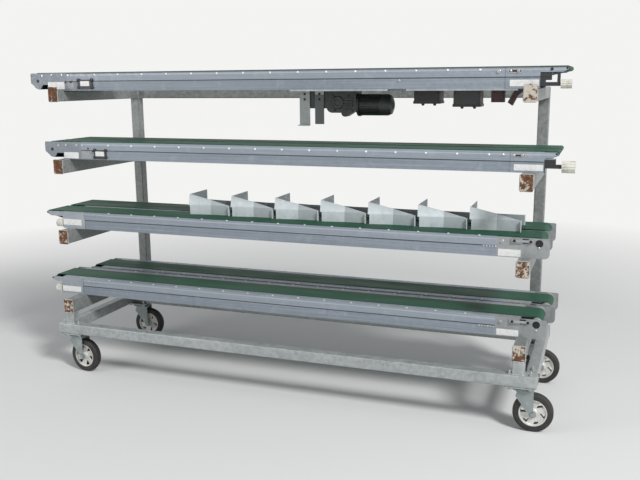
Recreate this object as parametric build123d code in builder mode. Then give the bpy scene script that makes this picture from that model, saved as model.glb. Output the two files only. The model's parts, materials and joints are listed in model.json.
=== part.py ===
from build123d import *
from math import cos, radians, sin
import os

# Wheeled rack with four tiers of flat belt conveyors.
# Millimetres, +X right along the conveyors, +Y away from the viewer, +Z up.
# The origin is under the middle of the whole machine, on the floor.

# Rack: hot-dip galvanised box sections
section_w = 60          # width of arms, posts, columns and rails
wall = 4                # wall of every box section
corner_r = 6            # outer corner radius of every box section
arm_pitch = 2652        # left face of the left arm to left face of the right arm
arm_length = 830        # front end of an arm to the front face of its column
rail_front = 20         # the front rail stands this far in front of the arms
rail_top = 305          # top of the base rails above the floor
rail_left = 34          # base rails reach this far left of the left arm
rail_right = 62.5       # and this far right of the right arm
castor_rail_y = 705     # front face of the rail over the rear castors, from the arms' front
end_cap = 4             # closing plates of the base rails and arms

# Tier table: name, arm top, arm height, lip of the end plate above the arm
tier_rows = (
    ("tier_1", 1688, 60, 22),
    ("tier_2", 1294, 80, 0),
    ("tier_3", 876, 80, 0),
    ("tier_4", 450, 80, 0),
)

# Conveyor frames
conv_h = 100            # side profile height
side_t = 4              # web of the side profile
side_box_h = 46         # height of the hollow upper part of the side profile
flange_d = 26           # depth of the lower flange, and of the feet of the end plates
groove = 3              # line groove in the side profile
belt_t = 2.5            # belt thickness
belt_gap = 3            # between belt edge and side profile
belt_rise = 3           # belt top above the profile's top
seat = 0.3              # play where one piece sits in or on another
cross_bar = 22          # square bars under the belt
cross_pitch = 560
bed_t = 3               # sliding bed under the belt

# Drive end of a conveyor
drive_inset = 50        # drive shaft to the end of the drive plate
plate_l = 252           # length of a drive-end plate
plate_t = 5             # its thickness
plate_low_r = 24        # radius of its lower outer corner, at the right ends
plate_top_r = 8         # radius of its upper outer corner
hook_side = 44          # left ends: height at which the outer edge turns inwards
hook_tip = 55           # the rounded tip below it, from the end
hook_flat = 20          # width of the tip before it is rounded
hook_low = 10           # above the profile's foot
hook_r = 12
notch_from = 84         # notch between the tip and the rest of the plate
notch_to = 130
notch_h = 35
window_l = 82           # right ends: window of the shaft's adjuster
window_h = 24
window_in = 50          # from the shaft to the window's near end
window_up = 10          # window's middle above the shaft
slider_l = 52           # adjuster block in the window
slider_out = 8          # it stands out of the plate
bearing_wall = 7        # sleeve around the shaft beside the belt
bridge_l = 125          # top cover of a wide strip over the drive plate
bridge_t = 4

# Thin end of a conveyor
nose_r = 9              # knife-edge roller
nose_tip_r = 7.5        # rounded tip of the plates that hold it
nose_plate_t = 6
nose_plate_h = 27       # height of those plates
nose_plate_top = 1      # they end this far below the profile's top
nose_taper = 24         # length of the taper behind the tip
axle_hole_r = 5.3
cover_l = 155           # cover over the end of the side profile
cover_t = 3
snub_r = 15             # roller that leads the belt back down behind the thin end
snub_in = 40            # its axis, inside the end of the side profiles
snub_drop = 37          # and below the belt
rod_w = 18              # square rod that carries the tension knob
hanger_w = 6            # upright at the end of the side profile, on conveyors with a long thin end;
                        # it is as deep as cover and profile, so that it clears the belt
slide_l = 48            # slide block on that upright
slide_h = 32
slide_up = 38           # above the profile's foot
link_w = 14             # upright link from the rod to the thin end's plate
link_in = 16            # from the knob
flutes = 12             # grips around a tension knob
flute_r = 3.2

# Conveyor table: tier, reach beyond the left arm's left face and beyond the right arm's right
# face, length of the thin end, play between side profile and knob, knob length and diameter,
# height of the knob's rod above the profile's foot, Y of the near face from the arms' front,
# belt lanes and the profile strips around them from near to far, drive end (+1 right, -1 left),
# radius of the drive roller and of its shaft's bore
conveyor_columns = ("name", "tier", "left_over", "right_over", "thin_l", "knob_gap", "knob_l", "knob_d",
                    "rod_up", "near_y", "lanes", "strips", "drive", "drive_r", "bore_r")
conveyor_rows = (
    ("conveyor_1", "tier_1", 164, 136, 132, 94, 50, 42, 20, 60, (172, 172), (9, 24, 9), -1, 45, 10),
    ("conveyor_2", "tier_2", 108, 108, 68, 81, 61, 58, 32, 72, (172, 172), (9, 24, 9), -1, 45, 10),
    ("conveyor_3", "tier_3", 144, 86, 118, 3, 40, 46, 29, 83, (182, 222), (9, 34, 9), 1, 26, 19),
    ("conveyor_4_near", "tier_4", 190, 85, 76, 4, 35, 46, 29, 140, (170,), (48, 48), 1, 26, 19),
    ("conveyor_4_far", "tier_4", 116, 109, 76, 4, 35, 46, 29, 436, (170,), (48, 48), 1, 26, 19),
)
wide_strip = 30         # strips wider than this are hollow and have a top cover at the drive end

# Castors
wheel_r = 100
wheel_w = 46
tread_w = 24            # flat running surface
shoulder_r = 95         # radius of the tyre's shoulders
shoulder_w = 42
rim_r = 70
rim_inner_r = 62
rim_w = 42
web_t = 26              # the disc lies just inside the rim's faces
hub_r = 22
hub_bore = 8.3
slots = 6               # openings in the wheel's disc
slot_l = 20
slot_w = 12
slot_in = 3             # from the slots to the rim
axle_r = 8
nut_r = 13              # nuts of the axle and of the swivel pin
nut_h = 8
fork_gap = 62           # between the fork legs
leg_t = 5
leg_end_r = 20
leg_back = -8           # fork leg's top, from the swivel axis
leg_front = 67
leg_bulge = 14          # the rear edge bulges out by this much
leg_bulge_down = 36     # at this depth below the crown
bend_r = 10             # outer bend between crown and legs
crown_r = 44
crown_t = 6
kingpin_r = 8
castor_pad_t = 6
pad_half = 75           # pad under the rails, each way along X
pad_front = 68
pad_back = 62
pad_bevel = 12
trail = 66              # swivel axis to wheel axle
castor_plate = (135, 110, 6)
plate_corner = 10
race_r = 38
race_h = 8
swivel_gap = 0.3
castor_in = 40          # swivel axes, from the left face of the arm above
castor_front_y = 48     # swivel axes, from the arms' front ends
castor_rear_y = 735
castor_rear_in = 11     # the rear castors stand this much nearer to the middle
# Castor table: name, X, Y, angle of the trail from +X
castor_rows = (
    ("front_left", castor_in, castor_front_y, -6),
    ("front_right", arm_pitch + castor_in, castor_front_y, 3),
    ("rear_left", castor_in + castor_rear_in, castor_rear_y, 5),
    ("rear_right", arm_pitch + castor_in - castor_rear_in, castor_rear_y, -2),
)

# Guide chutes standing on the belt of the third tier
chute_count = 7
chute_first = 1878      # left end of the first chute from the right arm's left face
chute_pitch = 270.8
chute_l = 245
chute_near = 122        # near wall from the conveyor's near face
chute_mouth = 228       # width at the wide end
chute_turn = 20         # each wall comes in by this much
chute_taper = 125       # over this length, and is parallel after it
chute_low_h = 55        # height of the fold
chute_high_h = 115
chute_lap = 9           # the upper part laps over the lower band at its left end
chute_lean = 22         # and leans back
chute_flange = 20       # outward flange at the narrow end
sheet_t = 2.5

# Drive unit under the top tier: lengths run left from the right arm's left face
drive_y = 170           # front of the drive unit from the conveyor's near face
hanger_t = 8            # plates under the top conveyor that carry the drive
hanger_plates = ((1182, 662), (567, 32))
drop_t = 6              # upright plates under them
drop_plates = ((1195, 1137, 193), (1107, 1057, 184))
drop_foot = 30          # foot bent forward at the bottom of the first one
gearbox_from = 1045
gearbox_l = 165
gearbox_d = 110
gearbox_h = 124         # below the conveyor
gearbox_r = 34          # rounded lower corner
bearing_from = 1137     # bearing housing on the gearbox's left side
bearing_h = 101         # below the conveyor
boss_from = 938         # round boss of the output shaft
boss_r = 21
boss_h = 123            # its axis below the conveyor
lug_in = 34             # smaller round end beside the boss
lug_up = 7
lug_r = 9
rib_count = 3
rib_pitch = 17
rib_w = 6
motor_r = 56
motor_drop = 83         # motor axis below the conveyor
motor_l = 112
fins = 14
fin_h = 8
fin_t = 3.5
flange_t = 12           # round flange between gearbox and motor
cover_fan_l = 66
cover_fan_r = 28        # rounded end of the fan cover
# Box table: left end, right end, height below the conveyor, depth
box_rows = ((567, 436, 75, 110), (365, 232, 90, 110), (178, 115, 68, 50))
plug_from = 98          # angled plug beside the last box
plug_l = 46
plug_h = 60
plug_tilt = 32
plug_d = 42


def reach(row):
    """Lowest and highest X of one conveyor with its knob, from the left arm's left face."""
    c = dict(zip(conveyor_columns, row))
    low, high = -c["left_over"], arm_pitch + section_w + c["right_over"]
    thin = low if c["drive"] > 0 else high
    knob = thin + c["drive"] * (c["thin_l"] - c["knob_gap"] - c["knob_l"])
    return min(low, knob), max(high, knob)


# The machine is centred on its overall box
x_low = min(reach(row)[0] for row in conveyor_rows)
x_high = max(reach(row)[1] for row in conveyor_rows)
arms_x = -(x_low + x_high) / 2                     # left face of the left arm
right_x = arms_x + arm_pitch                       # left face of the right arm
rail_back = arm_length + section_w                 # rear face of the rear rail
arms_y = -(rail_back - rail_front) / 2             # front ends of the arms
rail_bottom = rail_top - section_w
os.makedirs("parts", exist_ok=True)


def save(piece, name):
    """Label one finished piece and write it."""
    piece.part.label = name
    export_step(piece.part, "parts/" + name + ".step")


def box_section(plane, width, height, length):
    """Hollow section along the plane's normal, centred on its origin."""
    with BuildSketch(plane) as section:
        RectangleRounded(width, height, corner_r)
        Rectangle(width - 2 * wall, height - 2 * wall, mode=Mode.SUBTRACT)
    extrude(section.sketch, amount=length)


def along_x(x, y, z):
    return Plane(origin=(x, y, z), x_dir=(0, 1, 0), z_dir=(1, 0, 0))


def along_y(x, y, z):
    return Plane(origin=(x, y, z), x_dir=(1, 0, 0), z_dir=(0, 1, 0))


def side_view(y):
    """Plane of a side view at y: its x is X and its y is Z. Negative amounts run towards +Y."""
    return Plane(origin=(0, y, 0), x_dir=(1, 0, 0), z_dir=(0, -1, 0))


def block(x0, x1, y0, y1, z0, z1, mode=Mode.ADD):
    """Plain block between two corners, in the piece being built."""
    with Locations(((x0 + x1) / 2, (y0 + y1) / 2, (z0 + z1) / 2)):
        Box(abs(x1 - x0), abs(y1 - y0), abs(z1 - z0), mode=mode)


# Base frame
half = section_w / 2
rail_x0 = arms_x - rail_left
rail_x1 = right_x + section_w + rail_right
rail_mid_z = rail_top - half
front_rail_y = arms_y - rail_front
rail_ys = (("base_front_rail", front_rail_y), ("base_castor_rail", arms_y + castor_rail_y),
           ("base_rear_rail", arms_y + arm_length))
for name, y in rail_ys:
    inner = name == "base_castor_rail"
    x0 = rail_x0 + section_w if inner else rail_x0
    x1 = rail_x1 - section_w if inner else rail_x1
    with BuildPart() as rail:
        box_section(along_x(x0, y + half, rail_mid_z), section_w, section_w, x1 - x0)
        if not inner:
            for x in (x0, x1 - end_cap):
                block(x, x + end_cap, y + wall, y + section_w - wall, rail_bottom + wall, rail_top - wall)
    save(rail, name)

cross_y0 = front_rail_y + section_w
cross_y1 = arms_y + arm_length
with BuildPart() as base_cross_rails:
    for x in (rail_x0 + half, rail_x1 - half):
        box_section(along_y(x, cross_y0, rail_mid_z), section_w, section_w, cross_y1 - cross_y0)
save(base_cross_rails, "base_cross_rails")

# Front posts under the lowest arms, and the columns behind
post_top = tier_rows[-1][1] - tier_rows[-1][2]
arm_xs = (arms_x + half, right_x + half)
with BuildPart() as front_posts:
    for x in arm_xs:
        box_section(Plane(origin=(x, arms_y + half, rail_top)), section_w, section_w, post_top - rail_top)
save(front_posts, "front_posts")

column_top = tier_rows[0][1]
column_y = arms_y + arm_length + half
with BuildPart() as columns:
    for x in arm_xs:
        box_section(Plane(origin=(x, column_y, rail_top)), section_w, section_w, column_top - rail_top)
        block(x - half + wall, x + half - wall, column_y - half + wall, column_y + half - wall,
              column_top - end_cap, column_top)
save(columns, "columns")

# Beams between the columns and arms in front of them, one level for each tier
with BuildPart() as tier_beams:
    for name, arm_top, arm_h, lip in tier_rows:
        plane = along_x(arm_xs[0] + half, column_y, arm_top - arm_h / 2)
        box_section(plane, section_w, arm_h, arm_pitch - section_w)
save(tier_beams, "tier_beams")

for name, arm_top, arm_h, lip in tier_rows:
    with BuildPart() as arms:
        for x in arm_xs:
            box_section(along_y(x, arms_y + end_cap, arm_top - arm_h / 2), section_w, arm_h,
                        arm_length - end_cap)
    save(arms, "arms_" + name)

with BuildPart() as arm_end_plates:
    for name, arm_top, arm_h, lip in tier_rows:
        for x in arm_xs:
            block(x - half, x + half, arms_y, arms_y + end_cap, arm_top - arm_h, arm_top + lip)
save(arm_end_plates, "arm_end_plates")


# Conveyors
def conveyor_frame(row):
    """Named places of one conveyor in the machine's frame."""
    c = dict(zip(conveyor_columns, row))
    d = c["drive"]
    c["x0"] = arms_x - c["left_over"]
    c["x1"] = right_x + section_w + c["right_over"]
    c["z0"] = next(t[1] for t in tier_rows if t[0] == c["tier"])
    c["z1"] = c["z0"] + conv_h
    c["y0"] = arms_y + c["near_y"]
    c["y1"] = c["y0"] + sum(c["lanes"]) + sum(c["strips"])
    c["thick_end"] = c["x1"] if d > 0 else c["x0"]
    c["thin_end"] = c["x0"] if d > 0 else c["x1"]
    c["side_end"] = c["thin_end"] + d * c["thin_l"]
    c["knob_x"] = c["side_end"] - d * c["knob_gap"]
    c["plate_start"] = c["thick_end"] - d * plate_l
    belt_z = c["z1"] + belt_rise - belt_t
    c["bed_z"] = belt_z - seat
    c["shaft"] = (c["thick_end"] - d * drive_inset, belt_z - c["drive_r"])
    c["nose"] = (c["thin_end"] + d * (nose_r + belt_t), belt_z - nose_r)
    c["snub"] = (c["side_end"] + d * snub_in, belt_z - snub_drop)
    c["lane_starts"] = []
    y = c["y0"]
    for strip, width in zip(c["strips"], c["lanes"]):
        c["lane_starts"].append((y + strip, width))
        y += strip + width
    return c


conveyors = [conveyor_frame(row) for row in conveyor_rows]


def side_profile(c, y, into, depth):
    """Side rail: grooved web, upper part and a lower flange to stand on."""
    box_z = conv_h - side_box_h
    x_from, x_to = sorted((c["plate_start"], c["side_end"]))
    plane = Plane(origin=(x_from, y, c["z0"]), x_dir=(0, into, 0), z_dir=(into, 0, 0))
    with BuildSketch(plane) as outline:
        with BuildLine():
            Polyline((0, 0), (0, box_z - groove), (groove / 2, box_z - groove), (groove / 2, box_z),
                     (0, box_z), (0, conv_h), (depth, conv_h), (depth, box_z), (side_t, box_z),
                     (side_t, side_t), (flange_d, side_t), (flange_d, 0), close=True)
        make_face()
        if depth > wide_strip:
            with Locations((depth / 2, conv_h - side_box_h / 2)):
                Rectangle(depth - 2 * side_t, side_box_h - 2 * side_t, mode=Mode.SUBTRACT)
    extrude(outline.sketch, amount=(x_to - x_from) * into)


def hook_outline(c):
    """What is cut away below a left drive end: a slanted corner and a notch, with a tip between."""
    end, z0 = c["thick_end"], c["z0"]
    tip_from, tip_to = end + hook_tip - hook_flat / 2, end + hook_tip + hook_flat / 2
    return ((end, z0), (end, z0 + hook_side), (tip_from, z0 + hook_low), (tip_to, z0 + hook_low),
            (end + notch_from, z0 + notch_h), (end + notch_to, z0 + notch_h), (end + notch_to, z0))


def drive_plate(c, y, outward, foot):
    """Drive-end plate with its shaft bore; outward is -1, +1 or 0 for a plate between the lanes."""
    d = c["drive"]
    x_lo, x_hi = sorted((c["plate_start"], c["thick_end"]))
    shaft_x, shaft_z = c["shaft"]
    window_x = shaft_x - d * (window_in + window_l / 2)
    with_window = outward and d > 0
    with BuildSketch(side_view(y)) as plate:
        with Locations(((x_lo + x_hi) / 2, (c["z0"] + c["z1"]) / 2)):
            Rectangle(x_hi - x_lo, conv_h)
        if d > 0:
            tips = plate.vertices().filter_by_position(Axis.X, x_hi - 1, x_hi + 1)
            fillet(tips.sort_by(Axis.Y)[0], plate_low_r)
        else:
            with BuildLine():
                Polyline(*hook_outline(c), close=True)
            make_face(mode=Mode.SUBTRACT)
            low = c["z0"] + hook_low
            fillet(plate.vertices().filter_by_position(Axis.Y, low - 1, low + 1), hook_r)
        tips = plate.vertices().filter_by_position(Axis.X, c["thick_end"] - 1, c["thick_end"] + 1)
        fillet(tips.sort_by(Axis.Y)[-1], plate_top_r)
        with Locations((shaft_x, shaft_z)):
            Circle(c["bore_r"], mode=Mode.SUBTRACT)
        if with_window:
            with Locations((window_x, shaft_z + window_up)):
                Rectangle(window_l, window_h, mode=Mode.SUBTRACT)
    extrude(plate.sketch, amount=-plate_t)
    if with_window:
        # The slider fills part of the window and stands out of the plate
        y_out = y - slider_out if outward < 0 else y
        s_lo, s_hi = sorted((window_x - d * window_l / 2, window_x - d * (window_l / 2 - slider_l)))
        block(s_lo, s_hi, y_out, y_out + plate_t + slider_out, shaft_z + window_up - window_h / 2,
              shaft_z + window_up + window_h / 2)
    if outward:
        foot_in = plate_low_r if d > 0 else notch_to
        f_lo, f_hi = sorted((c["plate_start"], c["thick_end"] - d * foot_in))
        y_in = y + plate_t if outward < 0 else y - foot
        block(f_lo, f_hi, y_in, y_in + foot, c["z0"], c["z0"] + side_t)


def rollers_sketch(c, grow):
    """Circles of the drive, nose and snub rollers in the side view."""
    for (x, z), radius in ((c["shaft"], c["drive_r"]), (c["nose"], nose_r), (c["snub"], snub_r)):
        with Locations((x, z)):
            Circle(radius + grow)


def nose_plate(c, y, thickness, with_cover):
    """Plate that holds the knife-edge roller, with or without its cover over the side profile."""
    d = c["drive"]
    nose_x, nose_z = c["nose"]
    top = c["z1"] - nose_plate_top
    low = top - nose_plate_h
    with BuildSketch(side_view(y)) as holder:
        with BuildLine():
            Polyline((c["side_end"], top), (nose_x, top), (nose_x, nose_z - nose_tip_r),
                     (nose_x + d * nose_taper, low), (c["side_end"], low), close=True)
        make_face()
        with Locations((nose_x, nose_z)):
            Circle(nose_tip_r)
        if with_cover:
            with Locations((c["side_end"] + d * cover_l / 2, (c["z0"] + c["z1"]) / 2)):
                Rectangle(cover_l, conv_h)
    extrude(holder.sketch, amount=-thickness)


def nose_bore(c):
    """Hole for the knife-edge roller's axle through every plate of the thin end."""
    with BuildSketch(side_view(c["y0"] - 2 * cover_t)) as bore:
        with Locations(c["nose"]):
            Circle(axle_hole_r)
    extrude(bore.sketch, amount=-(c["y1"] - c["y0"] + 4 * cover_t), mode=Mode.SUBTRACT)


for tier, *rest in tier_rows:
    places = [c for c in conveyors if c["tier"] == tier]
    tag = tier.replace("tier", "conveyor")
    with BuildPart() as sides:
        for c in places:
            side_profile(c, c["y0"], 1, c["strips"][0])
            side_profile(c, c["y1"], -1, c["strips"][-1])
    save(sides, tag + "_side_profiles")

    # Drive-end plates, bearing sleeves beside the belts and top covers over wide strips
    with BuildPart() as drive_plates:
        for c in places:
            drive_plate(c, c["y0"], -1, flange_d - plate_t)
            drive_plate(c, c["y1"] - plate_t, 1, flange_d - plate_t)
            if len(c["lanes"]) > 1:
                drive_plate(c, c["lane_starts"][1][0] - (c["strips"][1] + plate_t) / 2, 0, 0)
            if c["strips"][0] > wide_strip:
                sleeve = c["strips"][0] - plate_t
                for y in (c["y0"] + plate_t, c["y1"] - plate_t - sleeve):
                    with BuildSketch(side_view(y)) as ring:
                        with Locations(c["shaft"]):
                            Circle(c["bore_r"] + bearing_wall)
                            Circle(c["bore_r"], mode=Mode.SUBTRACT)
                    extrude(ring.sketch, amount=-sleeve)
                    b_lo, b_hi = sorted((c["plate_start"], c["plate_start"] + c["drive"] * bridge_l))
                    block(b_lo, b_hi, y, y + sleeve, c["z1"] - bridge_t, c["z1"])
    save(drive_plates, tag + "_drive_plates")

    # Belts: one closed loop for each lane
    with BuildPart() as belts:
        for c in places:
            for y, width in c["lane_starts"]:
                with BuildSketch(side_view(y + belt_gap)) as outer:
                    rollers_sketch(c, belt_t)
                    make_hull()
                extrude(outer.sketch, amount=-(width - 2 * belt_gap))
                with BuildSketch(side_view(y + belt_gap)) as inner:
                    rollers_sketch(c, 0)
                    make_hull()
                extrude(inner.sketch, amount=-(width - 2 * belt_gap), mode=Mode.SUBTRACT)
    save(belts, tag + "_belts")

    # Thin end: plates of the knife edge, covers over the profiles and the knob's gear
    with BuildPart() as noses:
        for c in places:
            d = c["drive"]
            inner_ys = [c["y0"], c["y1"] - nose_plate_t]
            if len(c["lanes"]) > 1:
                inner_ys.append(c["lane_starts"][1][0] - (c["strips"][1] + nose_plate_t) / 2)
            for y in inner_ys:
                nose_plate(c, y, nose_plate_t, False)
            for y in (c["y0"] - cover_t, c["y1"]):
                nose_plate(c, y, cover_t, True)
            nose_bore(c)
            # Rod of the tension knob, and the upright, slide and link of the long thin ends
            rod_z = c["z0"] + c["rod_up"]
            r_lo, r_hi = sorted((c["side_end"], c["knob_x"]))
            block(r_lo, r_hi, c["y0"], c["y0"] + rod_w, rod_z - rod_w / 2, rod_z + rod_w / 2)
            if c["knob_gap"] > slide_l:
                strip_low = c["z1"] - nose_plate_top - nose_plate_h
                edge = c["side_end"]
                y_in = c["y0"] + c["strips"][0]
                y_out = c["y0"] - cover_t
                block(*sorted((edge, edge - d * hanger_w)), y_out, y_in, c["z0"] + seat, strip_low)
                block(*sorted((edge, edge - d * (hanger_w + slide_l))), y_out, y_in,
                      c["z0"] + slide_up, c["z0"] + slide_up + slide_h)
                link_x = min(c["knob_gap"] - link_in, c["thin_l"] - nose_taper - link_w)
                block(*sorted((edge - d * link_x, edge - d * (link_x + link_w))), c["y0"],
                      c["y0"] + nose_plate_t, rod_z, strip_low)
    save(noses, tag + "_nose_plates")

with BuildPart() as tension_knobs:
    for c in conveyors:
        knob_r = c["knob_d"] / 2
        plane = Plane(origin=(c["knob_x"], c["y0"] + rod_w / 2, c["z0"] + c["rod_up"]),
                      x_dir=(0, 1, 0), z_dir=(-c["drive"], 0, 0))
        with BuildSketch(plane) as grip:
            Circle(knob_r)
            with PolarLocations(knob_r, flutes):
                RegularPolygon(flute_r, 4, mode=Mode.SUBTRACT)
        extrude(grip.sketch, amount=c["knob_l"])
save(tension_knobs, "tension_knobs")

# Rollers inside the loops: drive roller with its journals, knife edge and snub roller
with BuildPart() as belt_rollers:
    for c in conveyors:
        for y, width in c["lane_starts"]:
            for key, radius, margin in (("shaft", c["drive_r"], belt_gap), ("snub", snub_r, 0),
                                        ("nose", nose_r, 0)):
                with BuildSketch(side_view(y + margin)) as roll:
                    with Locations(c[key]):
                        Circle(radius - seat)
                extrude(roll.sketch, amount=-(width - 2 * margin))
        for key, radius, out in (("shaft", c["bore_r"] - seat, -seat),
                                 ("nose", axle_hole_r - seat, cover_t - seat)):
            with BuildSketch(side_view(c["y0"] - out)) as axle:
                with Locations(c[key]):
                    Circle(radius)
            extrude(axle.sketch, amount=-(c["y1"] - c["y0"] + 2 * out))
save(belt_rollers, "belt_rollers")

# Middle strips between two lanes, open below; cross bars and the sliding beds
with BuildPart() as middle_strips:
    for c in conveyors:
        if len(c["lanes"]) > 1:
            x_lo, x_hi = sorted((c["plate_start"], c["side_end"]))
            y, width = c["lane_starts"][1]
            y_lo = y - c["strips"][1]
            block(x_lo, x_hi, y_lo, y, c["z1"] - side_box_h, c["z1"])
            block(x_lo, x_hi, y_lo + side_t, y - side_t, c["z1"] - side_box_h, c["z1"] - side_t,
                  Mode.SUBTRACT)
save(middle_strips, "middle_strips")

with BuildPart() as cross_bars:
    for c in conveyors:
        x_lo, x_hi = sorted((c["plate_start"], c["snub"][0] + c["drive"] * 2 * snub_r))
        count = int((x_hi - x_lo) / cross_pitch) + 1
        step = (x_hi - x_lo - cross_bar) / (count - 1)
        top = c["bed_z"] - bed_t
        for y, width in c["lane_starts"]:
            for i in range(count):
                x = x_lo + i * step
                block(x, x + cross_bar, y, y + width, top - cross_bar, top)
save(cross_bars, "cross_bars")

with BuildPart() as sliding_beds:
    for c in conveyors:
        x_lo, x_hi = sorted((c["plate_start"], c["side_end"]))
        for y, width in c["lane_starts"]:
            block(x_lo, x_hi, y, y + width, c["bed_z"] - bed_t, c["bed_z"])
save(sliding_beds, "sliding_beds")

# Drive unit and control boxes under the top tier
top_c = conveyors[0]
unit_y0 = top_c["y0"] + drive_y
unit_z = top_c["z0"]
unit_top = unit_z - hanger_t
with BuildPart() as drive_bracket:
    for x_from, x_to in hanger_plates:
        block(right_x - x_from, right_x - x_to, top_c["y0"], top_c["y1"], unit_top, unit_z)
    for x_from, x_to, height in drop_plates:
        block(right_x - x_from, right_x - x_to, unit_y0, unit_y0 + drop_t, unit_z - height, unit_top)
    x_from, x_to, height = drop_plates[0]
    block(right_x - x_from, right_x - x_to, unit_y0 - drop_foot, unit_y0, unit_z - height,
          unit_z - height + drop_t)
save(drive_bracket, "drive_bracket")

gear_x = right_x - gearbox_from
gear_y = unit_y0 + drop_t
motor_y = gear_y + gearbox_d / 2
motor_z = unit_z - motor_drop
with BuildPart() as gearbox:
    with BuildSketch(side_view(gear_y)) as housing:
        with Locations((gear_x + gearbox_l / 2, unit_top - (gearbox_h - hanger_t) / 2)):
            Rectangle(gearbox_l, gearbox_h - hanger_t)
        fillet(housing.vertices().group_by(Axis.Y)[0], gearbox_r)
    extrude(housing.sketch, amount=-gearbox_d)
    with BuildSketch(side_view(gear_y - rib_w)) as boss:
        with Locations((right_x - boss_from, unit_z - boss_h)):
            Circle(boss_r)
        with Locations((right_x - boss_from + lug_in, unit_z - boss_h + lug_up)):
            Circle(lug_r)
        make_hull()
    extrude(boss.sketch, amount=-gearbox_d / 2)
    block(right_x - bearing_from, gear_x, gear_y, motor_y, unit_z - bearing_h, unit_top)
    for i in range(rib_count):
        z = motor_z + (i - (rib_count - 1) / 2) * rib_pitch + rib_pitch
        block(gear_x + gearbox_r / 2, gear_x + gearbox_l - gearbox_r / 2, gear_y - rib_w, gear_y,
              z - rib_w / 2, z + rib_w / 2)
    with BuildSketch(along_x(gear_x + gearbox_l, motor_y, motor_z)) as flange:
        Circle(motor_r + fin_h / 2)
    extrude(flange.sketch, amount=flange_t)
save(gearbox, "gearbox")

motor_plane = along_x(gear_x + gearbox_l + flange_t, motor_y, motor_z)
with BuildPart() as motor:
    with BuildSketch(motor_plane) as body:
        Circle(motor_r - fin_h)
        with PolarLocations(0, fins // 2):
            Rectangle(2 * motor_r, fin_t)
            Rectangle(fin_t, 2 * motor_r)
    extrude(body.sketch, amount=motor_l)
save(motor, "motor")

cover_start = motor_plane.offset(motor_l).origin
with BuildPart() as motor_fan_cover:
    with BuildSketch(Plane(origin=cover_start, x_dir=(1, 0, 0), z_dir=(0, -1, 0))) as bowl:
        with BuildLine():
            bevel = cover_fan_r * (1 - cos(radians(45)))
            Polyline((0, 0), (0, motor_r), (cover_fan_l - cover_fan_r, motor_r),
                     (cover_fan_l - bevel, motor_r - bevel), (cover_fan_l, motor_r - cover_fan_r),
                     (cover_fan_l, 0), close=True)
        make_face()
    revolve(bowl.sketch, axis=Axis(cover_start, (1, 0, 0)))
save(motor_fan_cover, "motor_fan_cover")

with BuildPart() as control_boxes:
    for x_from, x_to, height, depth in box_rows:
        block(right_x - x_from, right_x - x_to, unit_y0, unit_y0 + depth, unit_z - height, unit_top)
    # Plug: a tilted block that narrows downwards
    with BuildSketch(side_view(unit_y0)) as plug:
        with BuildLine():
            x = right_x - plug_from
            Polyline((x + plug_tilt, unit_top), (x + plug_tilt + plug_l, unit_top),
                     (x + plug_l, unit_top - plug_h / 2), (x + plug_l / 2, unit_top - plug_h - plug_tilt / 2),
                     (x, unit_top - plug_h), close=True)
        make_face()
    extrude(plug.sketch, amount=-plug_d)
save(control_boxes, "control_boxes")

# Guide chutes: folded sheet on the belt of the third tier
chute_c = conveyors[2]
chute_z = chute_c["z1"] + belt_rise
fold_z = chute_z + chute_low_h
with BuildPart() as guide_chutes:
    for i in range(chute_count):
        x0 = right_x - chute_first + i * chute_pitch
        x_turn = x0 + chute_taper
        x1 = x0 + chute_l
        y_near = chute_c["y0"] + chute_near
        y_far = y_near + chute_mouth
        # Near wall: a band with a leaning upper panel, along the taper and then straight on
        for foot, length, turn in (((x0 - chute_lap, y_near), chute_taper + chute_lap, chute_turn),
                                   ((x_turn, y_near + chute_turn), x1 - x_turn, 0)):
            along = Vector(length, turn, 0)
            plane = Plane(origin=(*foot, chute_z), x_dir=(-turn, length, 0), z_dir=along)
            with BuildSketch(plane) as folded:
                with BuildLine():
                    Polyline((0, 0), (0, chute_low_h), (chute_lean, chute_high_h),
                             (chute_lean + sheet_t, chute_high_h), (sheet_t, chute_low_h), (sheet_t, 0),
                             close=True)
                make_face()
            extrude(folded.sketch, amount=along.length + (sheet_t if turn else 0))
        # Cut to the slope above the fold and to the band's left end
        with BuildSketch(side_view(y_near - sheet_t)) as trim:
            with BuildLine():
                Polyline((x0 - chute_lap, chute_z + chute_high_h), (x1, fold_z), (x1 + sheet_t, fold_z),
                         (x1 + sheet_t, chute_z + chute_high_h + sheet_t),
                         (x0 - 2 * chute_lap, chute_z + chute_high_h + sheet_t),
                         (x0 - 2 * chute_lap, chute_z + chute_high_h), close=True)
            make_face()
            with Locations((x0 - chute_lap, (chute_z + fold_z) / 2 - sheet_t)):
                Rectangle(2 * chute_lap, chute_low_h)
        extrude(trim.sketch, amount=-(chute_turn + chute_lean + 4 * sheet_t), mode=Mode.SUBTRACT)
        # Far wall: only the band
        with BuildSketch(Plane.XY.offset(chute_z)) as far_path:
            with BuildLine():
                Polyline((x0 - chute_lap, y_far), (x_turn, y_far - chute_turn), (x1, y_far - chute_turn),
                         (x1, y_far - chute_turn - sheet_t), (x_turn, y_far - chute_turn - sheet_t),
                         (x0 - chute_lap, y_far - sheet_t), close=True)
            make_face()
        extrude(far_path.sketch, amount=chute_low_h)
        # End panel across the wide end above the goods, and flanges at the narrow end
        with BuildSketch(along_x(x0 - chute_lap, 0, 0)) as panel:
            with BuildLine():
                Polyline((y_near, fold_z - sheet_t), (y_near, fold_z),
                         (y_near + chute_lean, chute_z + chute_high_h), (y_far, chute_z + chute_high_h),
                         (y_far, fold_z - sheet_t), close=True)
            make_face()
        extrude(panel.sketch, amount=sheet_t)
        for y_end, side in ((y_near + chute_turn, -1), (y_far - chute_turn, 1)):
            block(x1, x1 + sheet_t, *sorted((y_end - side * sheet_t, y_end + side * chute_flange)),
                  chute_z, fold_z)
save(guide_chutes, "guide_chutes")

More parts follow.
